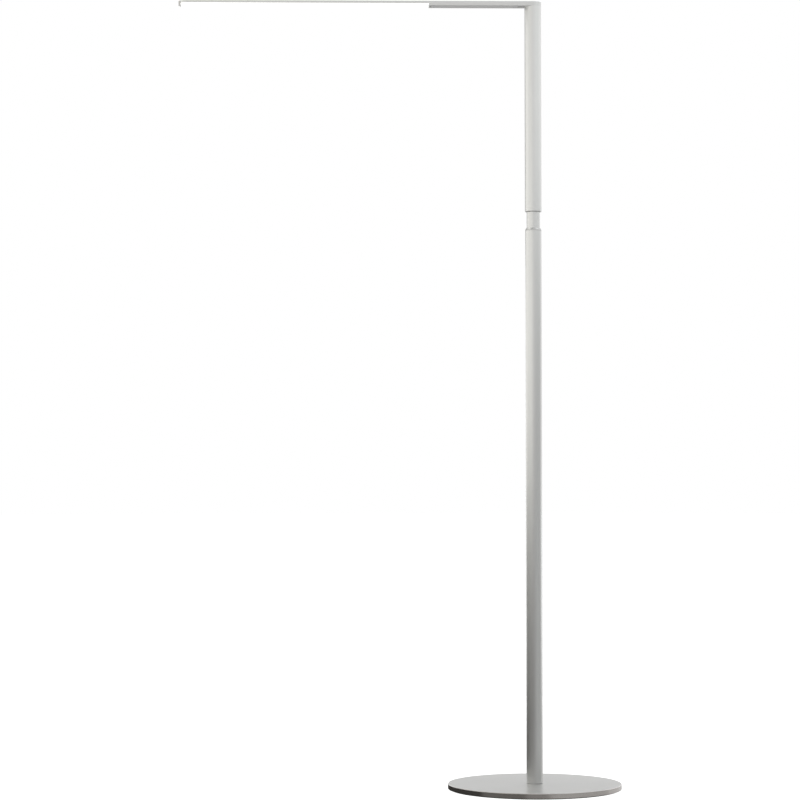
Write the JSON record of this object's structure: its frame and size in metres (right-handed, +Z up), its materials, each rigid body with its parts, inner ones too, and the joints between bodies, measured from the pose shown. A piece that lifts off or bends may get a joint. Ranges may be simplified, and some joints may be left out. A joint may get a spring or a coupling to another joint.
{
  "type": "adjustable arm floor lamp",
  "caption": "Slim floor lamp with a round base, a telescopic pole and a thin horizontal light bar that swivels on the pole.",
  "frame": {"origin": "on the floor, at the centre of the underside of the foot pad, on the pole's axis", "axes": "+Z up along the pole, -X along the arm from the pole to the tip, +Y to the back, where the cable inlet is"},
  "size_m": [0.649, 0.254, 1.156],
  "materials": {
    "satin_metal": "satin",
    "plated_steel": "satin",
    "zinc_steel": "satin",
    "black_rubber": "matte",
    "white_bearing": "satin",
    "cable_jacket": "matte",
    "circuit_board": "satin",
    "component_black": "satin",
    "capacitor_metal": "satin",
    "led_emitter": "satin",
    "opal_diffuser": "satin",
    "touch_plastic": "satin"
  },
  "bodies": {
    "base": {"foot_pad": "black_rubber", "base_plate": "plated_steel", "cable_gland": "black_rubber", "base_bolt": "zinc_steel", "base_washer": "zinc_steel", "foot_plug": "zinc_steel", "base_lead": "cable_jacket", "coiled_lead": "cable_jacket", "lower_pole": "satin_metal", "pole_collar": "satin_metal", "guide_liner": "white_bearing"},
    "neck": {"neck_pole": "satin_metal", "slider_plug": "white_bearing", "neck_lead": "cable_jacket", "swivel_cap": "zinc_steel", "thrust_washer": "white_bearing", "friction_washer": "white_bearing", "wave_washer": "zinc_steel", "stem_nut": "zinc_steel", "friction_ring_1": "black_rubber", "friction_ring_2": "black_rubber"},
    "arm": {"upper_pole": "satin_metal", "swivel_bushing_lower": "white_bearing", "swivel_bushing_upper": "white_bearing", "swivel_plate": "satin_metal", "stop_pin": "zinc_steel", "corner_plug": "satin_metal", "corner_screw_1": "zinc_steel", "corner_screw_2": "zinc_steel", "arm_frame": "satin_metal", "driver_cover": "satin_metal", "cover_screw_1": "zinc_steel", "cover_screw_2": "zinc_steel", "cover_screw_3": "zinc_steel", "cover_screw_4": "zinc_steel", "driver_board": "circuit_board", "driver_coil": "component_black", "driver_chip": "component_black", "driver_capacitor": "capacitor_metal", "arm_lead": "cable_jacket", "led_lead": "cable_jacket", "led_board": "circuit_board", "led_01": "led_emitter", "led_02": "led_emitter", "led_03": "led_emitter", "led_04": "led_emitter", "led_05": "led_emitter", "led_06": "led_emitter", "led_07": "led_emitter", "led_08": "led_emitter", "led_09": "led_emitter", "led_10": "led_emitter", "diffuser": "opal_diffuser", "end_cap": "satin_metal", "end_cap_screw": "zinc_steel", "touch_disc": "touch_plastic", "touch_sensor": "circuit_board"}
  },
  "joints": [
    {"name": "height_slide", "type": "slide", "parent": "base", "child": "neck", "axis": [0, 0, 1], "range_m": [-0.0235, 0.3], "deforming": ["coiled_lead"]},
    {"name": "arm_swivel", "type": "hinge", "parent": "neck", "child": "arm", "pos_m": [0, 0, 0.8463], "axis": [0, 0, 1], "range_deg": [-165, 165]}
  ]
}
